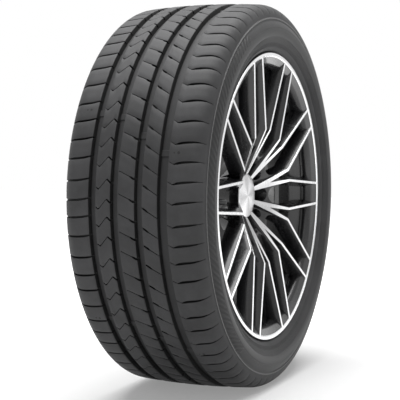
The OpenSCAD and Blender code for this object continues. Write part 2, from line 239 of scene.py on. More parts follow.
# Hollow between two bolt wells, as (radius, height)
HUB_HOLLOW = [(6.5, 52.0), (7.5, 53.0), (7.5, 80.0)]

# Centre cap as (radius, height) from its middle over the edge to the clips
CAP_DOME = 1.6
CAP_FACE_R = (35.2, 35.9)
CAP_EDGE = [
    (36.0, 61.95), (36.6, 61.8), (37.1, 61.4), (37.3, 60.8), (37.3, 52.2), (36.7, 51.6), (29.0, 51.6),
    (29.0, 46.0), (27.0, 46.0), (26.6, 54.0), (0.0, 54.0)]

# Black plastic of the valve's dust cap, clean and bloomed
DUST_CAP_COLOUR = (0.018, 0.018, 0.019)
DUST_CAP_BLOOM = (0.032, 0.032, 0.034)

# Distances over which the floor turns white, half its side, and the camera's shift
FLOOR_FADE = (0.35, 1.1)
FLOOR_HALF = 6.0
CAMERA_SHIFT = (-0.0360, -0.0124)


class TyreSettings(bpy.types.PropertyGroup):
    """Sizes and colours of the tyre."""

    groove_depth: bpy.props.FloatProperty(
        name="Groove depth", description="Depth of the four long grooves",
        default=8.0 * MM, min=4.0 * MM, max=10.0 * MM, unit="LENGTH")
    wear_bar_height: bpy.props.FloatProperty(
        name="Wear bar height", description="Height of the wear bars over the groove floors",
        default=1.6 * MM, min=0.5 * MM, max=3.0 * MM, unit="LENGTH")
    ridge_height: bpy.props.FloatProperty(
        name="Sidewall rib height", description="Height of the fine ribs on the sidewalls",
        default=0.45 * MM, min=0.1 * MM, max=0.8 * MM, unit="LENGTH")
    rubber_colour: bpy.props.FloatVectorProperty(
        name="Rubber", description="Colour of clean tyre rubber",
        default=(0.024, 0.024, 0.025), size=3, min=0.0, max=1.0, subtype="COLOR")
    bloom_colour: bpy.props.FloatVectorProperty(
        name="Bloom", description="Paler colour that tyre rubber takes on in the air",
        default=(0.054, 0.054, 0.056), size=3, min=0.0, max=1.0, subtype="COLOR")


class WheelSettings(bpy.types.PropertyGroup):
    """Finishes of the wheel, cap and valve."""

    bright_colour: bpy.props.FloatVectorProperty(
        name="Turned aluminium", description="Colour of the turned faces of the spokes and lip",
        default=(0.86, 0.86, 0.87), size=3, min=0.0, max=1.0, subtype="COLOR")
    paint_colour: bpy.props.FloatVectorProperty(
        name="Black paint", description="Colour of the gloss paint behind the turned faces",
        default=(0.010, 0.010, 0.011), size=3, min=0.0, max=1.0, subtype="COLOR")
    cap_colour: bpy.props.FloatVectorProperty(
        name="Cap silver", description="Colour of the silver lacquer on the centre cap",
        default=(0.88, 0.88, 0.89), size=3, min=0.0, max=1.0, subtype="COLOR")
    line_pitch: bpy.props.FloatProperty(
        name="Turning pitch", description="Distance between the fine turned lines",
        default=0.45 * MM, min=0.1 * MM, max=2.0 * MM, unit="LENGTH")


class StageSettings(bpy.types.PropertyGroup):
    """Floor, lamps and camera."""

    floor_colour: bpy.props.FloatVectorProperty(
        name="Floor", description="Colour of the studio floor",
        default=(0.74, 0.74, 0.74), size=3, min=0.0, max=1.0, subtype="COLOR")
    floor_glow: bpy.props.FloatProperty(
        name="Floor glow", description="How far the floor is lifted towards white for the camera",
        default=0.26, min=0.0, max=1.0)
    key_power: bpy.props.FloatProperty(
        name="Top lamp", description="Power of the large lamp overhead, in watts",
        default=122.0, min=0.0, max=500.0)
    fill_power: bpy.props.FloatProperty(
        name="Side lamp", description="Power of the lamp on the tread's side, in watts",
        default=3.0, min=0.0, max=500.0)
    face_power: bpy.props.FloatProperty(
        name="Face lamp", description="Power of the lamp on the wheel's side, in watts",
        default=6.0, min=0.0, max=500.0)
    world_light: bpy.props.FloatProperty(
        name="Room light", description="Strength of the even light from all round",
        default=0.22, min=0.0, max=2.0)
    camera_distance: bpy.props.FloatProperty(
        name="Camera distance", description="Distance from the camera to the middle of the tyre",
        default=2.0, min=1.0, max=10.0, unit="LENGTH")
    camera_azimuth: bpy.props.FloatProperty(
        name="Camera azimuth", description="Angle of the camera round the object",
        default=math.radians(-66.685), unit="ROTATION")
    camera_elevation: bpy.props.FloatProperty(
        name="Camera elevation", description="Height angle of the camera",
        default=math.radians(2.871), unit="ROTATION")
    camera_lens: bpy.props.FloatProperty(
        name="Lens", description="Focal length of the camera, in millimetres",
        default=102.31, min=20.0, max=400.0)


# Shader building

class Value:
    """Value in a node tree. Plain arithmetic on it adds Math nodes."""

    def __init__(self, tree, socket):
        self.tree = tree
        self.socket = socket

    def math(self, operation, *others, clamp=False):
        """Math node on this value and up to two more."""
        node = add_node(self.tree, "ShaderNodeMath", operation=operation, use_clamp=clamp)
        for socket, value in zip(node.inputs, (self, *others)):
            feed(self.tree, socket, value)
        return Value(self.tree, node.outputs[0])

    def __add__(self, other):
        return self.math("ADD", other)

    def __sub__(self, other):
        return self.math("SUBTRACT", other)

    def __rsub__(self, other):
        return self.math("MULTIPLY_ADD", -1.0, other)

    def __mul__(self, other):
        return self.math("MULTIPLY", other)

    def __truediv__(self, other):
        return self.math("DIVIDE", other)

    def __gt__(self, limit):
        return self.math("GREATER_THAN", limit)

    def __lt__(self, limit):
        return self.math("LESS_THAN", limit)

    def __abs__(self):
        return self.math("ABSOLUTE")

    __radd__ = __add__
    __rmul__ = __mul__


def add_node(tree, kind, label="", **options):
    """Adds a node to a tree, to the right of those already there, and sets its options."""
    node = tree.nodes.new(kind)
    node.label = label
    node.location = (190 * (len(tree.nodes) % 12), -240 * (len(tree.nodes) // 12))
    for name, value in options.items():
        setattr(node, name, value)
    return node


def feed(tree, socket, value):
    """Gives an input socket either a link or a plain value."""
    if isinstance(value, Value):
        tree.links.new(value.socket, socket)
    else:
        socket.default_value = value


def feed_all(tree, sockets, values):
    """Feeds sockets by name or number."""
    for name, value in values.items():
        feed(tree, sockets[name], value)


def square_sum_root(first, second):
    """Length of a line that runs first one way and second the other."""
    return (first * first + second * second).math("SQRT")


def step_up(value, low, high):
    """Rises smoothly from 0 to 1 while value goes from low to high."""
    node = add_node(value.tree, "ShaderNodeMapRange", interpolation_type="SMOOTHSTEP")
    feed_all(value.tree, node.inputs, {"Value": value, "From Min": low, "From Max": high})
    return Value(value.tree, node.outputs["Result"])


def mix_colour(share, first, second, label=""):
    """Mixes two colours."""
    node = add_node(share.tree, "ShaderNodeMix", label, data_type="RGBA")
    feed_all(share.tree, node.inputs, {0: share, 6: first, 7: second})
    return Value(share.tree, node.outputs[2])


def mix_value(share, first, second, label=""):
    """Mixes two values."""
    node = add_node(share.tree, "ShaderNodeMix", label, data_type="FLOAT")
    feed_all(share.tree, node.inputs, {0: share, 2: first, 3: second})
    return Value(share.tree, node.outputs[0])


def noise(place, scale, detail=3.0, roughness=0.5):
    """Noise value at a place in metres, with scale in features per metre."""
    node = add_node(place.tree, "ShaderNodeTexNoise")
    feed_all(place.tree, node.inputs, {
        "Vector": place, "Scale": scale, "Detail": detail, "Roughness": roughness})
    return Value(place.tree, node.outputs["Fac"])


def object_place(tree):
    """Place on the object, in metres."""
    return Value(tree, add_node(tree, "ShaderNodeTexCoord").outputs["Object"])


def split(place):
    """The three parts of a place."""
    node = add_node(place.tree, "ShaderNodeSeparateXYZ")
    feed(place.tree, node.inputs[0], place)
    return [Value(place.tree, part) for part in node.outputs]


def join(*parts):
    """A place made of three parts, the last of which may be left out."""
    tree = parts[0].tree
    node = add_node(tree, "ShaderNodeCombineXYZ")
    feed_all(tree, node.inputs, dict(enumerate(parts)))
    return Value(tree, node.outputs[0])


def bump_normal(tree, height, label=""):
    """Normal of a surface raised by a height in metres."""
    node = add_node(tree, "ShaderNodeBump", label)
    feed_all(tree, node.inputs, {"Distance": 1.0, "Height": height})
    return Value(tree, node.outputs["Normal"])


FLOAT = "NodeSocketFloat"
COLOUR = "NodeSocketColor"
VECTOR = "NodeSocketVector"


def new_group(name, inputs, outputs):
    """Empty shader node group with the named sockets; returns the tree, its inputs and its outputs."""
    tree = bpy.data.node_groups.new(name, "ShaderNodeTree")
    for label, kind, default in inputs:
        socket = tree.interface.new_socket(label, in_out="INPUT", socket_type=kind)
        socket.default_value = default
    for label, kind in outputs:
        tree.interface.new_socket(label, in_out="OUTPUT", socket_type=kind)
    entry = tree.nodes.new("NodeGroupInput")
    exit_node = tree.nodes.new("NodeGroupOutput")
    exit_node.location = (2400, 0)
    given = {label: Value(tree, entry.outputs[label]) for label, _, _ in inputs}
    return tree, given, exit_node.inputs


def axle_place_group():
    """Radius, turn and height of a point about the axle, so that finishes can follow the lathe."""
    tree, given, result = new_group(
        "axle_place",
        [("Middle Plane", FLOAT, 0.033)],
        [("Place", VECTOR), ("Radius", FLOAT), ("Turn", FLOAT), ("Outboard", FLOAT)])
    place = object_place(tree)
    x, y, z = split(place)
    feed_all(tree, result, {
        "Place": place, "Radius": square_sum_root(x, z), "Turn": z.math("ARCTAN2", x),
        "Outboard": given["Middle Plane"] - y})
    return tree


def rubber_grain_group():
    """Matt rubber: cloudy bloom, fine pores and a mould-skin bump."""
    tree, given, result = new_group(
        "rubber_grain",
        [("Rubber", COLOUR, (0.03, 0.03, 0.03, 1)), ("Bloom", COLOUR, (0.06, 0.06, 0.06, 1)),
         ("Bloom Amount", FLOAT, 0.5), ("Roughness", FLOAT, 0.6), ("Grain Depth", FLOAT, 0.00008),
         ("Height", FLOAT, 0.0)],
        [("Colour", COLOUR), ("Roughness", FLOAT), ("Normal", VECTOR)])
    place = object_place(tree)
    pores = noise(place, 900.0, 2.0)
    skin = noise(place, 2600.0, 2.0)
    cloudy = step_up(noise(place, 14.0, 5.0, 0.6), 0.35, 0.7) * given["Bloom Amount"]
    share = cloudy.math("MULTIPLY", pores * 0.4 + 0.8, clamp=True)
    uneven = pores * 0.16 - 0.08 + cloudy * 0.08
    feed_all(tree, result, {
        "Colour": mix_colour(share, given["Rubber"], given["Bloom"]),
        "Roughness": given["Roughness"].math("ADD", uneven, clamp=True),
        "Normal": bump_normal(tree, (pores + skin) * given["Grain Depth"] + given["Height"])})
    return tree


def turned_lines_group():
    """Fine lines that a lathe tool leaves round the axle, a little uneven in depth and shade."""
    tree, given, result = new_group(
        "turned_lines",
        [("Radius", FLOAT, 0.0), ("Turn", FLOAT, 0.0), ("Pitch", FLOAT, 0.00045), ("Depth", FLOAT, 0.00002)],
        [("Shade", FLOAT), ("Height", FLOAT)])
    wave = (given["Radius"] / given["Pitch"] * (2 * math.pi)).math("SINE")
    uneven = noise(join(given["Radius"] * 900.0, given["Turn"] * 1.5), 1.0, 4.0, 0.6)
    feed_all(tree, result, {"Shade": wave * 0.12 + uneven, "Height": (wave + uneven) * given["Depth"]})
    return tree


def handling_marks_group():
    """Faint smears and dust that gather on smooth finishes."""
    tree, given, result = new_group(
        "handling_marks",
        [("Amount", FLOAT, 0.3)],
        [("Mask", FLOAT), ("Rough", FLOAT)])
    place = object_place(tree)
    smear = step_up(noise(place, 28.0, 5.0, 0.65), 0.48, 0.72)
    dust = step_up(noise(place, 420.0, 3.0, 0.6), 0.58, 0.72)
    both = dust * 0.5 + smear
    feed_all(tree, result, {
        "Mask": both.math("MULTIPLY", given["Amount"], clamp=True), "Rough": both * given["Amount"]})
    return tree


SHARED_GROUPS = {
    "axle_place": axle_place_group,
    "rubber_grain": rubber_grain_group,
    "turned_lines": turned_lines_group,
    "handling_marks": handling_marks_group,
}


def place_group(tree, name, **values):
    """Puts a shared group into a material with its own values; builds it on first use."""
    shared = bpy.data.node_groups.get(name) or SHARED_GROUPS[name]()
    node = add_node(tree, "ShaderNodeGroup", name, node_tree=shared)
    feed_all(tree, node.inputs, {label.replace("_", " "): value for label, value in values.items()})
    return {output.name: Value(tree, output) for output in node.outputs}


def new_material(name):
    """Material with one Principled shader; returns the material, its tree and the shader's inputs."""
    material = bpy.data.materials.new(name)
    material.use_nodes = True
    tree = material.node_tree
    shader = tree.nodes["Principled BSDF"]
    shader.location = (2600, 0)
    tree.nodes["Material Output"].location = (2900, 0)
    return material, tree, shader.inputs


def solid(colour, share=1.0):
    """A share of a colour with full alpha, as sockets take it."""
    return (*(share * part for part in colour), 1.0)


def vent_pits(turn, outboard, radius):
    """Mask of the painted shade of the small vent pits of the tread, repeated round it with the wear bars."""
    half_period = math.pi / WEAR_BAR_SETS
    pits = []
    for across, along, reach in VENT_PITS:
        away = (turn - (along / TREAD_R - math.pi)).math("WRAP", -half_period, half_period)
        down = away * (TREAD_R * MM)
        aside = outboard - across * MM
        pits.append(down * down + aside * aside < (reach * MM) ** 2)
    any_pit = functools.reduce(lambda found, pit: found.math("MAXIMUM", pit), pits)
    return any_pit * (radius > PIT_FLOOR_R * MM)


def groove_floors(outboard):
    """1 on the floors of the four long grooves, 0 on their walls and on the blocks."""
    past_walls = []
    for rib, following in zip(RIBS, RIBS[1:]):
        middle = (rib.high + following.low) / 2
        half_width = (following.low - rib.high) / 2
        aside = abs(outboard - middle * MM)
        past_walls.append(aside - (half_width - WALL_LEAN) * MM)
    nearest = functools.reduce(lambda least, past: least.math("MINIMUM", past), past_walls)
    return 1.0 - step_up(nearest, -1.6 * MM, 0.2 * MM)


def hatched_band(radius, turn, on_side):
    """Slanted lines round the sidewall, and the mask of the stretches that have them."""
    rise, fall = HATCH_R
    band = step_up(radius, rise[0] * MM, rise[1] * MM) * (1.0 - step_up(radius, fall[0] * MM, fall[1] * MM))
    lines = (turn * HATCH_WAVES[0] + radius * HATCH_WAVES[1]).math("SINE") * 0.5 + 0.5
    around = (turn - math.radians(HATCH_MIDDLE)).math("COSINE")
    return lines, band * on_side * step_up(abs(around), *HATCH_ENDS)


def depth_under_tread(radius, aside):
    """Depth of a point under the crown or shoulder of the tread, in metres."""
    share = aside / (CROWN_END * MM)
    crown = TREAD_R * MM - share * share * (CROWN_DROP * MM)
    shoulder = SHOULDER_R * MM - square_sum_root(
        radius - SHOULDER_MIDDLE[0] * MM, aside - SHOULDER_MIDDLE[1] * MM)
    depth = mix_value(aside > CROWN_END * MM, crown - radius, shoulder, "Depth under the tread")
    return depth * (radius > TREAD_INNER_R * MM)


def tyre_rubber(settings):
    """Tyre rubber with painted shade in its cuts, vent pits and hatched band, and a painted highlight on the
    fine ridge of the sidewalls.
    """
    material, tree, shader = new_material("tyre_rubber")
    about = place_group(tree, "axle_place")
    radius, turn, outboard = about["Radius"], about["Turn"], about["Outboard"]
    aside = abs(outboard)
    on_side = step_up(aside, SIDEWALL_FROM[0] * MM, SIDEWALL_FROM[1] * MM)
    lines, hatched = hatched_band(radius, turn, on_side)
    # Painted shade: the rubber turns near-black with depth in the grooves and cuts, less so on the groove
    # floors
    deep = step_up(depth_under_tread(radius, aside), CUT_SHADE[0] * MM, CUT_SHADE[1] * MM) * 0.97
    deep = deep * (groove_floors(outboard) * -FLOOR_SHADE_LACK + 1.0)
    grain = place_group(tree, "rubber_grain", Rubber=solid(settings.rubber_colour),
                        Bloom=solid(settings.bloom_colour), Bloom_Amount=mix_value(on_side, 0.75, 0.35),
                        Roughness=mix_value(on_side, 0.62, 0.50), Grain_Depth=0.00006,
                        Height=lines * hatched * HATCH_HEIGHT)
    ridge = (radius > RIDGE_R[0] * MM) * (radius < RIDGE_R[1] * MM) * (aside > RIDGE_FROM * MM)
    rubber = settings.rubber_colour
    colour = mix_colour(deep, grain["Colour"], solid(rubber, 0.04), "Painted shade in the cuts")
    # Painted shade: the vent pits are near-black spots in the colour, with no hole in the mesh
    colour = mix_colour(vent_pits(turn, outboard, radius), colour, solid((0.002, 0.002, 0.002)), "Painted shade of the vent pits")
    # Painted shade: the hatched band is a darker copy of the rubber, darkest along the low lines of its bump
    colour = mix_colour(hatched * (lines * -0.5 + 0.75), colour, solid(rubber, 0.3), "Hatched band")
    # Painted highlight: a pale line all round the ridge beside the tread
    colour = mix_colour(ridge * 0.8, colour, solid((0.16, 0.16, 0.16)), "Painted highlight on the ridge")
    feed_all(tree, shader, {
        "Base Color": colour, "Roughness": grain["Roughness"], "Normal": grain["Normal"],
        "Specular IOR Level": 0.4})
    return material


def moulded(name, colour, bloom, amount, roughness, depth):
    """Plain moulded rubber or plastic with a fine grained skin."""
    material, tree, shader = new_material(name)
    grain = place_group(tree, "rubber_grain", Rubber=solid(colour), Bloom=solid(bloom),
                        Bloom_Amount=amount, Roughness=roughness, Grain_Depth=depth)
    feed_all(tree, shader, {
        "Base Color": grain["Colour"], "Roughness": grain["Roughness"], "Normal": grain["Normal"]})
    return material


def wheel_alloy(settings):
    """Black gloss paint with turned bright faces on the spoke edges and the flange ring, and painted shade on
    the stems near the hub.
    """
    material, tree, shader = new_material("wheel_alloy")
    about = place_group(tree, "axle_place")
    radius, height = about["Radius"], about["Outboard"]
    marks = place_group(tree, "handling_marks", Amount=0.35)
    lines = place_group(tree, "turned_lines", Radius=radius, Turn=about["Turn"],
                        Pitch=settings.line_pitch, Depth=0.000012)
    past_kink = radius - KINK[0] * MM
    cone = past_kink * HUB_SLOPE + KINK[2] * MM
    outer = past_kink * ARM_SLOPE + KINK[2] * MM
    spokes = (height > cone.math("MINIMUM", outer) - TURNED_DEPTH * MM) * (radius < ARM_END[0] * MM)
    inward, below = RING_MARGINS
    ring = (radius > (ARM_END[0] - inward) * MM) * (height > (ARM_END[2] - below) * MM)
    bright = spokes.math("MAXIMUM", ring * (radius < (FLANGE_R - inward) * MM))
    shade = step_up(lines["Shade"], 0.25, 0.75)
    turned_colour = settings.bright_colour
    metal = mix_colour(shade * 0.22, solid(turned_colour), solid(turned_colour, 0.6))
    # Painted shade: the turned stems near the hub are darkened in colour, standing in for their darker
    # reflection
    stems = 1.0 - step_up(radius, STEM_PAINTED_SHADE_R[0] * MM, STEM_PAINTED_SHADE_R[1] * MM)
    metal = mix_colour(stems * 0.6, metal, solid(turned_colour, 0.35), "Painted darker reflection on the stems")
    dusty = solid([part + 0.02 for part in settings.paint_colour])
    paint = mix_colour(marks["Mask"], solid(settings.paint_colour), dusty)
    peel = noise(about["Place"], 260.0, 2.0) * 0.00003
    lip = (radius > LIP_FROM[0] * MM) * (height > LIP_FROM[1] * MM)
    feed_all(tree, shader, {
        "Base Color": mix_colour(bright, paint, metal),
        "Metallic": bright,
        "Roughness": mix_value(bright, marks["Rough"] * 0.25 + 0.24, shade * 0.10 + 0.22),
        "Normal": bump_normal(tree, mix_value(bright, peel, lines["Height"]), "Turned lines and paint"),
        "Coat Weight": mix_value(lip, 0.25, 0.75, "Thicker lacquer on the lip"),
        "Coat Roughness": 0.08,
        "Specular IOR Level": 0.4})
    return material


def cap_silver(settings):
    """Silver lacquer with brushed rays from the middle, painted sectors of reflection and a turned edge."""
    material, tree, shader = new_material("cap_silver")
    about = place_group(tree, "axle_place")
    radius, turn = about["Radius"], about["Turn"]
    marks = place_group(tree, "handling_marks", Amount=0.2)
    lines = place_group(tree, "turned_lines", Radius=radius, Turn=turn,
                        Pitch=settings.line_pitch, Depth=0.000006)
    rays = noise(join(turn.math("COSINE"), turn.math("SINE"), radius * 6.0), 26.0, 4.0, 0.7)
    # Painted reflection: four bright and dark sectors round the cap, as brushed metal shows under the lamps;
    # brushed below adds them to the rays, in tone and bump
    reflection_fans = (turn * 4.0 + 0.8).math("SINE") * 0.5 + 0.5
    brushed = rays * 0.9 + reflection_fans * 0.35
    edge = step_up(radius, CAP_FACE_R[0] * MM, CAP_FACE_R[1] * MM)
    shade = mix_value(edge, step_up(brushed, 0.3, 1.0), lines["Shade"])
    height = mix_value(edge, brushed * 0.00003, lines["Height"])
    feed_all(tree, shader, {
        "Base Color": mix_colour(shade, solid(settings.cap_colour), solid(settings.cap_colour, 0.5)),
        "Roughness": shade * 0.16 + 0.26 + marks["Rough"] * 0.2,
        "Normal": bump_normal(tree, height, "Brushed rays"),
        "Metallic": 0.85,
        "Coat Weight": 0.4})
    return material


def valve_brass():
    """Drawn brass, slightly dulled."""
    material, tree, shader = new_material("valve_brass")
    marks = place_group(tree, "handling_marks", Amount=0.6)
    feed_all(tree, shader, {
        "Base Color": mix_colour(marks["Mask"], solid((0.72, 0.52, 0.24)), solid((0.42, 0.30, 0.16))),
        "Roughness": marks["Rough"] * 0.3 + 0.25,
        "Metallic": 1.0})
    return material


def finish_node(name, material):
    """Gives a CAD part its material."""
    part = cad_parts[name]
    if not part.material_slots:
        part.data.materials.append(material)
    for slot in part.material_slots:
        slot.material = material


# Tyre building

def polar(radius, degrees):
    """Point at a radius and an angle in degrees."""
    angle = math.radians(degrees)
    return radius * np.array([math.cos(angle), math.sin(angle)])


def unit(line):
    """Direction of a line, one long."""
    return line / np.linalg.norm(line)


def profile_at(across):
    """Radius, height and slope of the tread surface at distances across it."""
    side = np.sign(across)
    away = np.abs(across)
    angle = SHOULDER_START + np.maximum(away - CROWN_END, 0.0) / SHOULDER_R
    on_crown = away <= CROWN_END
    share = away / CROWN_END
    radius = np.where(on_crown, TREAD_R - CROWN_DROP * share ** 2,
                      SHOULDER_MIDDLE[0] + SHOULDER_R * np.cos(angle))
    height = np.where(on_crown, away, SHOULDER_MIDDLE[1] + SHOULDER_R * np.sin(angle))
    slope = np.where(on_crown, SHOULDER_START * share, angle)
    return radius, side * height, side * slope


def tread_points(along, across, depth):
    """Points of the tread at arc lengths, distances across and depths, in metres."""
    along, across, depth = np.broadcast_arrays(along, across, depth)
    radius, height, slope = profile_at(across)
    radius = radius - depth * np.cos(slope)
    height = height - depth * np.sin(slope)
    return ring_points(along / TREAD_R, radius, height)


def ring_points(turn, radius, height):
    """Points at an angle from the near side, a radius and a height, in metres, flat on the floor."""
    turn, radius, height = np.broadcast_arrays(turn, radius, height)
    x = -radius * np.cos(turn) * MM
    z = np.maximum(-radius * np.sin(turn) * MM, tyre_low.z)
    return np.stack([x, middle_y - height * MM, z], -1)


class Skin:
    """Collects grids, strips and blocks of faces, then makes one mesh of them."""

    def __init__(self):
        self.points = []
        self.faces = []
        self.count = 0

    def take(self, points):
        """Keeps points and returns the number of the first."""
        flat = np.asarray(points).reshape(-1, 3)
        start = self.count
        self.points.append(flat)
        self.count += len(flat)
        return start

    def grid(self, points):
        """Quads over an array of points with two indices."""
        rows, columns = points.shape[:2]
        start = self.take(points)
        index = start + np.arange(rows * columns).reshape(rows, columns)
        quads = np.stack([index[:-1, :-1], index[1:, :-1], index[1:, 1:], index[:-1, 1:]], -1)
        self.faces.extend(quads.reshape(-1, 4).tolist())

    def bridge(self, along_a, points_a, along_b, points_b):
        """Triangles between two closed loops that run the same way round the tread."""
        turn = 2 * math.pi * TREAD_R
        loops = []
        for along, points in ((along_a, points_a), (along_b, points_b)):
            along = np.mod(along, turn)
            order = np.argsort(along, kind="stable")
            keep = np.concatenate([[True], np.diff(along[order]) > 1e-4])
            order = order[keep]
            start = self.take(points[order])
            ids = list(range(start, start + len(order))) + [start]
            loops.append((list(along[order]) + [along[order][0] + turn], ids))
        (place_a, ids_a), (place_b, ids_b) = loops
        i = j = 0
        while i < len(ids_a) - 1 or j < len(ids_b) - 1:
            step_a = i < len(ids_a) - 1 and (j == len(ids_b) - 1 or place_a[i + 1] <= place_b[j + 1])
            if step_a:
                self.faces.append([ids_a[i], ids_b[j], ids_a[i + 1]])
                i += 1
            else:
                self.faces.append([ids_a[i], ids_b[j], ids_b[j + 1]])
                j += 1

    def face(self, points):
        """One flat face over a closed loop of points."""
        start = self.take(points)
        self.faces.append(list(range(start, start + len(points))))

    def block(self, corners):
        """Closed box of eight corners: four below, then the same four above."""
        start = self.take(corners)
        sides = [(0, 1, 2, 3), (7, 6, 5, 4), (0, 4, 5, 1), (1, 5, 6, 2), (2, 6, 7, 3), (3, 7, 4, 0)]
        self.faces.extend([[start + k for k in side] for side in sides])

    def mesh(self, name):
        """One mesh with shared points joined, faces turned outwards and sharp edges marked."""
        mesh = bpy.data.meshes.new(name)
        mesh.from_pydata(np.concatenate(self.points).tolist(), [], self.faces)
        work = bmesh.new()
        work.from_mesh(mesh)
        bmesh.ops.remove_doubles(work, verts=work.verts, dist=2e-6)
        bmesh.ops.dissolve_degenerate(work, edges=work.edges, dist=2e-6)
        bmesh.ops.recalc_face_normals(work, faces=work.faces)
        work.to_mesh(mesh)
        work.free()
        mesh.shade_smooth()
        mesh.set_sharp_from_angle(angle=SHARP_ANGLE)
        return mesh


def block_starts():
    """Arc lengths at which the cuts of the first rib lie, round the whole tread."""
    lengths = np.array([BLOCK_LENGTHS[letter] for letter in BLOCK_ORDER])
    lengths = lengths * 2 * math.pi * TREAD_R / lengths.sum()
    return FIRST_BLOCK_AT + np.concatenate([[0.0], np.cumsum(lengths)])


def rows_across(rib):
    """Distances across a rib at which its faces are divided."""
    marks = {point[0] for point in rib.cut} | {rib.low, rib.high}
    edges = [value for value in (rib.low, rib.high) if abs(value) < SHOULDER_END]
    marks |= {value + (EDGE_ROUND if value == rib.low else -EDGE_ROUND) for value in edges}
    rows = sorted(marks)
    filled = [rows[0]]
    for value in rows[1:]:
        limit = ROW_STEPS[abs(value) > CROWN_END]
        pieces = math.ceil((value - filled[-1]) / limit)
        first = filled[-1]
        filled.extend(first + (value - first) * k / pieces for k in range(1, pieces + 1))
    return np.array(filled)


def add_block(skin, rows, left, right, rounding, edge_drop):
    """Face of one tread block with its edges rounded; returns its places along the tread, row by row."""
    inset = np.minimum(EDGE_ROUND, (right - left) / 4)
    inner = [left + inset + (right - left - 2 * inset) * share for share in (0, 1 / 3, 2 / 3, 1)]
    columns = np.stack([left, *inner, right], 1)
    drop = np.zeros_like(columns)
    drop[:, 0] = drop[:, -1] = rounding
    skin.grid(tread_points(columns, rows[:, None], np.maximum(drop, edge_drop[:, None])))
    return columns


def add_cut(skin, rows, feet, middle, wide, lip, floor):
    """Walls and floor of the cut between two blocks, wherever it is open."""
    low, high = middle - wide / 2, middle + wide / 2
    for k in range(len(rows) - 1):
        pair = slice(k, k + 2)
        if not wide[pair].any():
            continue
        top, foot = rows[pair, None], feet[pair, None]
        for side in (low, high):
            wall = np.stack([side[pair], side[pair]], 1)
            skin.grid(tread_points(wall, np.hstack([top, foot]), np.stack([lip[pair], floor[pair]], 1)))
        skin.grid(tread_points(np.stack([low[pair], high[pair]], 1), foot, floor[pair, None]))


def add_groove_wall(skin, blocks, place, lean, end_depth, groove_deep, top, gap):
    """Wall from a rib's edge down into a groove, open where cuts meet it; returns the loop at its foot."""
    levels = np.array([top, end_depth, groove_deep])
    spots = place + lean * levels / groove_deep
    spots[0] = place
    for block in blocks:
        drops = np.full((len(block), 1), EDGE_DROP)
        drops[0] = drops[-1] = top
        level = np.hstack([drops, np.full((len(block), 2), levels[1:])])
        skin.grid(tread_points(block[:, None], spots[None, :], level))
        if gap > 0.0:
            notch = np.array([block[0] - gap, block[0]])
            skin.grid(tread_points(notch[:, None], spots[None, 1:], levels[None, 1:]))
    foot = blocks.ravel()
    return foot, tread_points(foot, spots[2], groove_deep)


def add_rib(skin, rib, settings):
    """Blocks, cuts and groove walls of one rib; returns the loops at its two edges."""
    rows = rows_across(rib)
    across, along, width, depth = (np.array(column, float) for column in zip(*rib.cut))
    line = np.interp(rows, across, along) + rib.shift
    wide = np.interp(rows, across, width)
    rounding = np.where(wide > SIPE_WIDTH, CUT_DROP, 0.0)
    groove_deep = settings.groove_depth / MM
    ends = [(0, rib.low, -WALL_LEAN, rib.low_end), (-1, rib.high, WALL_LEAN, rib.high_end)]
    edge_drop, feet = np.zeros(len(rows)), rows.copy()
    for end, place, lean, end_depth in ends:
        if abs(place) < SHOULDER_END:
            edge_drop[end] = EDGE_DROP
            feet[end] += lean * end_depth / groove_deep
    lip = np.maximum(rounding, edge_drop)
    floor = np.maximum(np.where(wide > 0.0, np.interp(rows, across, depth), 0.0), lip)
    blocks = []
    starts = block_starts()
    for first, second in zip(starts, starts[1:]):
        left, right = first + line + wide / 2, second + line - wide / 2
        blocks.append(add_block(skin, rows, left, right, rounding, edge_drop))
        add_cut(skin, rows, feet, first + line, wide, lip, floor)
    loops = []
    for end, place, lean, end_depth in ends:
        edge = np.array([block[end] for block in blocks])
        if abs(place) < SHOULDER_END:
            loops.append(add_groove_wall(
                skin, edge, place, lean, end_depth, groove_deep, lip[end], wide[end]))
        else:
            loops.append((edge.ravel(), tread_points(edge.ravel(), place, 0.0)))
    return loops


def rolled_edge(edge, angles):
    """Points of a rim's rolled edge at angles round its middle."""
    middle_z, reach, _ = edge
    return [np.array([FLANGE_R - reach, middle_z]) + polar(reach, angle) for angle in angles]


def bead_seat(edge):
    """Bead seat of the rim from the flange face to the toe, shared by the tyre and the wheel."""
    return [(radius, edge[2] - behind) for radius, behind in BEAD_SEAT]


def sidewall_profile(settings, bulge, edge, lining_from):
    """Radius and height of a sidewall, from the tread edge to the bead and back inside."""
    points = list(TREAD_EDGE)
    middle_r, middle_z, reach, last = bulge

    def on_curve(angle, lift=0.0):
        return np.array([middle_r, middle_z]) + polar(reach + lift, angle)

    line_at = math.degrees(math.acos((MOULD_LINE_R - middle_r) / reach))
    points += [on_curve(angle) for angle in np.linspace(45, line_at - 1.0, 8)]
    points += [on_curve(line_at + past, lift) for past, lift in MOULD_LINE]
    points += [on_curve(angle) for angle in np.linspace(line_at + 6.0, last, 9)]
    start = on_curve(last)
    protector = [np.array((radius, edge[0] + over)) for radius, over in PROTECTOR]
    fall = np.linalg.norm(protector[0] - start)
    lean = (protector[0] - start) / fall
    inward = np.array((-lean[1], lean[0])) * math.copysign(settings.ridge_height / MM, lean[0])
    for along in np.arange(FINE_RIB_MARGINS[0], fall - FINE_RIB_MARGINS[1], FINE_RIB_PITCH):
        points += [start + (along + step) * lean + share * inward for step, share in FINE_RIB]
    seat = bead_seat(edge)
    inside = [(radius, seat[-1][1] + over) for radius, over in BEAD_INSIDE]
    points += [*protector, *rolled_edge(edge, (-45, -60, -75, -90)), *seat, *inside, lining_from, *LINING]
    return np.array([tuple(point) for point in points])


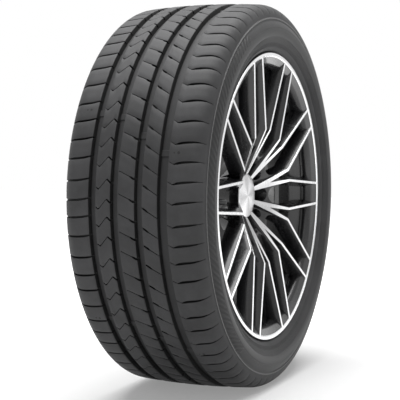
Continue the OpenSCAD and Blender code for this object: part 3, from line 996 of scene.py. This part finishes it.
def build_tyre(settings):
    """Tyre mesh: five ribs, four grooves with wear bars, two sidewalls, beads and lining."""
    skin = Skin()
    loops = [add_rib(skin, rib, settings) for rib in RIBS]
    for before, after in zip(loops, loops[1:]):
        skin.bridge(*before[1], *after[0])
    turn = np.linspace(0.0, 2 * math.pi, SIDEWALL_FACES + 1)
    sides = [(-1.0, loops[0][0], INBOARD_BULGE, INBOARD_EDGE, INBOARD_LINING),
             (1.0, loops[-1][1], OUTBOARD_BULGE, OUTBOARD_EDGE, OUTBOARD_LINING)]
    for side, loop, *shape in sides:
        profile = sidewall_profile(settings, *shape)
        wall = ring_points(turn[:, None], profile[None, :, 0], side * profile[None, :, 1])
        skin.grid(wall)
        skin.bridge(*loop, turn[:-1] * TREAD_R, wall[:-1, 0])
    full_turn = 2 * math.pi * TREAD_R
    deep = settings.groove_depth / MM
    levels = (deep + WEAR_BAR_SUNK, deep - settings.wear_bar_height / MM)
    for before, after, at in zip(RIBS, RIBS[1:], WEAR_BARS):
        low, high = before.high + WEAR_BAR_INSET, after.low - WEAR_BAR_INSET
        for k in range(WEAR_BAR_SETS):
            middle = at + k * full_turn / WEAR_BAR_SETS
            corners = [tread_points(middle + along, across, depth)
                       for depth, half in zip(levels, WEAR_BAR_HALVES)
                       for along, across in ((-half, low), (half, low), (half, high), (-half, high))]
            skin.block(np.array(corners))
    return skin.mesh("tyre")


def add_object(name, data):
    """Puts a new object in the scene."""
    item = bpy.data.objects.new(name, data)
    bpy.context.scene.collection.objects.link(item)
    return item


def add_piece(name, mesh, material):
    """Puts a finished piece in the scene and on its body."""
    piece = add_object(name, mesh)
    mesh.materials.append(material)
    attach(piece, "root")
    return piece


class OBJECT_OT_patterned_tyre(bpy.types.Operator):
    """Build the tyre with its tread blocks, cuts, grooves and ribbed sidewalls"""

    bl_idname = "object.patterned_tyre"
    bl_label = "Build patterned tyre"

    def execute(self, context):
        settings = context.scene.tyre_settings
        piece = add_piece("patterned_tyre", build_tyre(settings), tyre_rubber(settings))
        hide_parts("tyre")
        return {"FINISHED"}


def kink_frame():
    """Kink of an arm with the directions before and after it, drawn with the fork along x."""
    kink = polar(*KINK[:2])
    inner = unit(kink - (FORK_R, 0.0))
    outer = unit(polar(*ARM_END[:2]) - kink)
    bend = unit(inner + outer)
    return kink, outer, np.array([-bend[1], bend[0]]) / float(bend @ outer)


def arm_points(level, side):
    """Points of one level of an arm's flank, from the kink to the rim, as x, y and height."""
    half, depth = ARM_SECTION[level]
    kink, outer, across_bend = kink_frame()
    across = np.array([-outer[1], outer[0]])
    middle = kink + side * half * across_bend
    reach = ARM_REACH[level]
    tip = middle + outer * (math.sqrt(reach ** 2 - float(middle @ across) ** 2) - float(middle @ outer))
    spots = [middle, middle + (tip - middle) / 2, tip]
    heights = [KINK[2] + slope * (np.linalg.norm(spot) - KINK[0]) - depth
               for spot, slope in zip(spots, (0.0, ARM_SLOPE, ARM_SLOPE))]
    return np.array([(*spot, height) for spot, height in zip(spots, heights)])


def fork_points(level):
    """Outline of one level of half a fork, from the cap past the crotch to the kink."""
    half, depth = ARM_SECTION[level]
    widened = half - ARM_SECTION[0][0]
    kink, _, across_bend = kink_frame()
    inner_front = kink - ARM_SECTION[0][0] * across_bend
    slope = inner_front[1] / (inner_front[0] - FORK_R)
    spots = [np.array((STEM[1], 0.0)), np.array((FORK_R + widened / slope, 0.0)),
             kink - half * across_bend, kink + half * across_bend,
             np.array((STEM[1], STEM[0] + widened))]
    heights = [KINK[2] + HUB_SLOPE * (spot[0] - KINK[0]) - depth for spot in spots]
    heights[1] = KINK[2] + HUB_SLOPE * (FORK_R - KINK[0]) - depth
    heights[2] = heights[3] = KINK[2] - depth
    return np.array([(*spot, height) for spot, height in zip(spots, heights)])


def add_spokes(skin):
    """Stems and flared arms of all the forks, each with its front edge and flanks."""
    levels = range(len(ARM_SECTION))
    around = [(level, -1.0) for level in reversed(levels)] + [(level, 1.0) for level in levels]
    arm = np.array([arm_points(level, side) for level, side in around + around[:1]])
    fork = np.array([fork_points(level) for level in levels])
    fork = np.concatenate([fork, fork[:, :1]], 1)
    for k in range(SPOKES):
        turn = FIRST_FORK + k * 360.0 / SPOKES
        for hand in (-1.0, 1.0):
            rows = turned(arm, hand, turn)
            skin.grid(rows)
            skin.face(rows[:-1, 0])
            skin.face(rows[:-1, -1])
            rows = turned(fork, hand, turn)
            skin.grid(rows)
            skin.face(rows[0, :-1])
            skin.face(rows[-1, :-1])


def turned(points, hand, turn):
    """Places points given as x, y and height at a turn about the axle, in metres."""
    x, y, height = points[..., 0], hand * points[..., 1], points[..., 2]
    cosine, sine = polar(1.0, turn)
    return np.stack([(x * cosine - y * sine) * MM, middle_y - height * MM, (x * sine + y * cosine) * MM], -1)


def add_lathe(skin, profile, segments, centre=(0.0, 0.0)):
    """Turns a closed section of (radius, height) about a line beside the axle."""
    profile = np.array(list(profile) + [profile[0]])
    turn = np.linspace(0.0, 2 * math.pi, segments + 1)[:, None]
    x = centre[0] + profile[None, :, 0] * np.cos(turn)
    y = centre[1] + profile[None, :, 0] * np.sin(turn)
    height = np.broadcast_to(profile[None, :, 1], x.shape)
    skin.grid(turned(np.stack([x, y, height], -1), 1.0, 0.0))


def add_prism(skin, plan, low, high, turn):
    """Closed prism over a plan, with one low and one high height for each of its corners."""
    rings = [turned(np.array([(*corner, z) for corner, z in zip(plan, heights)]), 1.0, turn)
             for heights in (low, high)]
    skin.face(rings[0][::-1])
    skin.face(rings[1])
    skin.grid(np.stack([np.concatenate([ring, ring[:1]]) for ring in rings]))


def rim_profile():
    """Closed section of the barrel, from its front lip over the well to its back lip and inside."""
    front = rolled_edge(OUTBOARD_EDGE, range(0, -91, -15)) + bead_seat(OUTBOARD_EDGE)
    back = bead_seat(INBOARD_EDGE)[::-1] + rolled_edge(INBOARD_EDGE, range(-90, 1, 15))
    return RIM_FACE + front + RIM_WELL + [(radius, -height) for radius, height in back] + RIM_BACK + RIM_INSIDE


def pocket_plan():
    """Plan of a pocket, rounded towards the axle and open towards the arms."""
    start, reach, half, far = POCKET
    rounded = [np.array([start + reach, 0.0]) + polar(reach, angle) for angle in np.linspace(110, 250, 15)]
    return rounded + [(far, -half), (far, half)]


def channel_floor(plan):
    """Heights of a channel's floor at the corners of its plan."""
    height, slope = CHANNEL_FLOOR
    return [height + slope * (x - POCKET[0]) for x, _ in plan]


def build_hub():
    """Hub with its pockets, channels, bolt wells and hollows cut out, and its edges rounded."""
    blank, cutters = Skin(), Skin()
    add_lathe(blank, HUB_PROFILE, HUB_FACES)
    plan = pocket_plan()
    for k in range(SPOKES):
        turn = k * 360.0 / SPOKES
        beside = turn + FIRST_FORK - 180.0 / SPOKES
        channel = k % (SPOKES // CHANNELS) == 0
        floor = channel_floor(plan) if channel else [POCKET_BOTTOM] * len(plan)
        add_prism(cutters, plan, floor, [ABOVE_HUB] * len(plan), beside)
        section = BOLT_WELL if channel else HUB_HOLLOW
        top, bottom = (0.0, section[-1][1]), (0.0, section[0][1])
        add_lathe(cutters, [bottom, *section, top], WELL_FACES, polar(BOLT_CIRCLE_R, turn))
    body = add_object("hub", blank.mesh("hub"))
    tool = add_object("hub_cutters", cutters.mesh("hub_cutters"))
    cut = body.modifiers.new("Cut pockets", "BOOLEAN")
    cut.operation = "DIFFERENCE"
    cut.solver = "EXACT"
    cut.object = tool
    rounding = body.modifiers.new("Round edges", "BEVEL")
    rounding.width = HUB_ROUNDING * MM
    rounding.segments = 2
    rounding.angle_limit = math.radians(35)
    graph = bpy.context.evaluated_depsgraph_get()
    result = bpy.data.meshes.new_from_object(body.evaluated_get(graph))
    for item in (body, tool):
        mesh = item.data
        bpy.data.objects.remove(item)
        bpy.data.meshes.remove(mesh)
    return result


def add_channel_floors(skin):
    """Floors that carry the five channels on from the hub to the arms."""
    near_x, near_y = CHANNEL_NEAR
    far_x, far_y = polar(KINK[0], CHANNEL_SPREAD)
    plan = [(near_x, -near_y), (far_x, -far_y), (far_x, far_y), (near_x, near_y)]
    for k in range(CHANNELS):
        turn = k * 360.0 / CHANNELS + FIRST_FORK - 180.0 / SPOKES
        add_prism(skin, plan, CHANNEL_UNDERSIDE, channel_floor(plan), turn)


def build_wheel():
    """Whole wheel: barrel with its rolled edges, hub, channel floors, stems and arms."""
    skin = Skin()
    add_lathe(skin, rim_profile(), BARREL_FACES)
    add_spokes(skin)
    add_channel_floors(skin)
    parts = [skin.mesh("wheel"), build_hub()]
    work = bmesh.new()
    for part in parts:
        work.from_mesh(part)
    mesh = parts[0]
    work.to_mesh(mesh)
    work.free()
    bpy.data.meshes.remove(parts[1])
    mesh.shade_smooth()
    mesh.set_sharp_from_angle(angle=SHARP_ANGLE)
    return mesh


class OBJECT_OT_turned_wheel(bpy.types.Operator):
    """Build the wheel in black gloss paint with turned bright faces"""

    bl_idname = "object.turned_wheel"
    bl_label = "Build turned wheel"

    def execute(self, context):
        material = wheel_alloy(context.scene.wheel_settings)
        piece = add_piece("turned_wheel", build_wheel(), material)
        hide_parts("wheel")
        return {"FINISHED"}


def build_cap():
    """Centre cap: a shallow dome, a rounded edge, a plain side and the ring of clips."""
    reach, top = CAP_EDGE[0]
    dome_r = (reach ** 2 + CAP_DOME ** 2) / (2 * CAP_DOME)
    dome = [(r, top + CAP_DOME - dome_r + math.sqrt(dome_r ** 2 - r ** 2)) for r in np.linspace(0, reach, 9)]
    skin = Skin()
    add_lathe(skin, dome[:-1] + CAP_EDGE, CAP_FACES)
    return skin.mesh("centre_cap")


class OBJECT_OT_brushed_cap(bpy.types.Operator):
    """Build the centre cap in brushed silver lacquer"""

    bl_idname = "object.brushed_cap"
    bl_label = "Build brushed cap"

    def execute(self, context):
        material = cap_silver(context.scene.wheel_settings)
        piece = add_piece("brushed_cap", build_cap(), material)
        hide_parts("centre_cap")
        return {"FINISHED"}


class OBJECT_OT_snap_in_valve(bpy.types.Operator):
    """Finish the rubber, brass and dust cap of the valve"""

    bl_idname = "object.snap_in_valve"
    bl_label = "Finish valve"

    def execute(self, context):
        settings = context.scene.tyre_settings
        finish_node("valve_stem", moulded(
            "valve_rubber", settings.rubber_colour, settings.bloom_colour, 0.5, 0.55, 0.00003))
        finish_node("valve_insert", valve_brass())
        finish_node("valve_cap", moulded("valve_plastic", DUST_CAP_COLOUR, DUST_CAP_BLOOM, 0.4, 0.42, 0.00002))
        return {"FINISHED"}


# Stage

def seen_rays(tree):
    """1 for the camera's rays and those that gloss or glass sends on."""
    rays = add_node(tree, "ShaderNodeLightPath").outputs
    seen = Value(tree, rays["Is Camera Ray"])
    for name in ("Is Glossy Ray", "Is Transmission Ray"):
        seen = seen.math("MAXIMUM", Value(tree, rays[name]))
    return seen


def studio_floor(settings):
    """Pale floor that keeps the object's shadow and turns white further out."""
    material, tree, shader = new_material("studio_floor")
    place = object_place(tree)
    x, y, _ = split(place)
    far = step_up(square_sum_root(x, y), *FLOOR_FADE)
    glow = mix_value(far, settings.floor_glow, 1.0, "Glow away from the object")
    pale = solid(settings.floor_colour)
    feed_all(tree, shader, {
        "Base Color": mix_colour(noise(place, 3.0) * 0.05, pale, solid((0.70, 0.70, 0.70))),
        "Roughness": 0.9,
        "Specular IOR Level": 0.0,
        "Emission Color": solid((1.0, 1.0, 1.0)),
        "Emission Strength": seen_rays(tree) * glow})
    return material


def add_lamp(name, place, size, power):
    """Square soft lamp aimed at the wheel's middle."""
    light = bpy.data.lights.new(name, "AREA")
    light.shape = "SQUARE"
    light.size = size
    light.energy = power
    lamp = add_object(name, light)
    lamp.location = place
    lamp.rotation_euler = (-Vector(place)).to_track_quat("-Z", "Y").to_euler()


def light_room(settings):
    """Even grey room light that shows white to the camera and in reflections."""
    world = bpy.data.worlds.new("studio_room")
    bpy.context.scene.world = world
    world.use_nodes = True
    tree = world.node_tree
    background = tree.nodes["Background"]
    background.inputs["Color"].default_value = (1, 1, 1, 1)
    feed(tree, background.inputs["Strength"], mix_value(seen_rays(tree), settings.world_light, 1.0))


def place_camera(settings):
    """Camera at the photograph's angle, level and slightly above the axle."""
    azimuth, elevation = settings.camera_azimuth, settings.camera_elevation
    back = Vector((math.sin(azimuth) * math.cos(elevation),
                   -math.cos(azimuth) * math.cos(elevation), math.sin(elevation)))
    right = Vector((math.cos(azimuth), math.sin(azimuth), 0.0))
    data = bpy.data.cameras.new("photo_camera")
    data.sensor_width = 36.0
    data.lens = settings.camera_lens
    data.shift_x, data.shift_y = CAMERA_SHIFT
    camera = add_object("photo_camera", data)
    middle = Vector((0.0, middle_y, 0.0))
    turn = Matrix((right, back.cross(right), back)).transposed()
    camera.matrix_world = Matrix.LocRotScale(
        middle + settings.camera_distance * back, turn.to_quaternion(), None)
    bpy.context.scene.camera = camera


class SCENE_OT_studio_stage(bpy.types.Operator):
    """Set the pale floor, soft lamps, room light and camera"""

    bl_idname = "scene.studio_stage"
    bl_label = "Set studio stage"

    def execute(self, context):
        settings = context.scene.stage_settings
        half = FLOOR_HALF
        mesh = bpy.data.meshes.new("studio_floor")
        mesh.from_pydata([(-half, -half, 0), (half, -half, 0), (half, half, 0), (-half, half, 0)],
                         [], [(0, 1, 2, 3)])
        mesh.materials.append(studio_floor(settings))
        floor = add_object("studio_floor", mesh)
        floor.location.z = tyre_low.z
        add_lamp("top_lamp", (-0.05, 0.1, 2.4), 2.6, settings.key_power)
        add_lamp("side_lamp", (-2.6, -0.2, 1.5), 1.6, settings.fill_power)
        add_lamp("face_lamp", (-0.6, -2.8, -0.1), 1.8, settings.face_power)
        light_room(settings)
        place_camera(settings)
        context.scene.view_settings.view_transform = "Standard"
        return {"FINISHED"}


class VIEW3D_PT_road_tyre(bpy.types.Panel):
    """Sizes, finishes and building steps of the tyre and wheel"""

    bl_idname = "VIEW3D_PT_road_tyre"
    bl_label = "Road tyre"
    bl_space_type = "VIEW_3D"
    bl_region_type = "UI"
    bl_category = "Tyre"

    def draw(self, context):
        layout = self.layout
        for title, settings in (("Tyre", context.scene.tyre_settings),
                                ("Wheel", context.scene.wheel_settings),
                                ("Stage", context.scene.stage_settings)):
            box = layout.box()
            box.label(text=title)
            for name in settings.__annotations__:
                box.prop(settings, name)
        for step in STEPS:
            layout.operator(step.bl_idname)


SETTINGS = {
    "tyre_settings": TyreSettings,
    "wheel_settings": WheelSettings,
    "stage_settings": StageSettings,
}
STEPS = (
    OBJECT_OT_patterned_tyre,
    OBJECT_OT_turned_wheel,
    OBJECT_OT_brushed_cap,
    OBJECT_OT_snap_in_valve,
    SCENE_OT_studio_stage,
)


def register():
    """Registers the settings, steps and panel."""
    for name, settings in SETTINGS.items():
        bpy.utils.register_class(settings)
        setattr(bpy.types.Scene, name, bpy.props.PointerProperty(type=settings))
    for step in (*STEPS, VIEW3D_PT_road_tyre):
        bpy.utils.register_class(step)


def unregister():
    """Removes the panel, steps and settings."""
    for step in reversed((*STEPS, VIEW3D_PT_road_tyre)):
        bpy.utils.unregister_class(step)
    for name, settings in SETTINGS.items():
        delattr(bpy.types.Scene, name)
        bpy.utils.unregister_class(settings)


def main():
    """Builds every piece and the stage."""
    register()
    bpy.ops.object.patterned_tyre()
    bpy.ops.object.turned_wheel()
    bpy.ops.object.brushed_cap()
    bpy.ops.object.snap_in_valve()
    bpy.ops.scene.studio_stage()


if __name__ == "__main__":
    main()
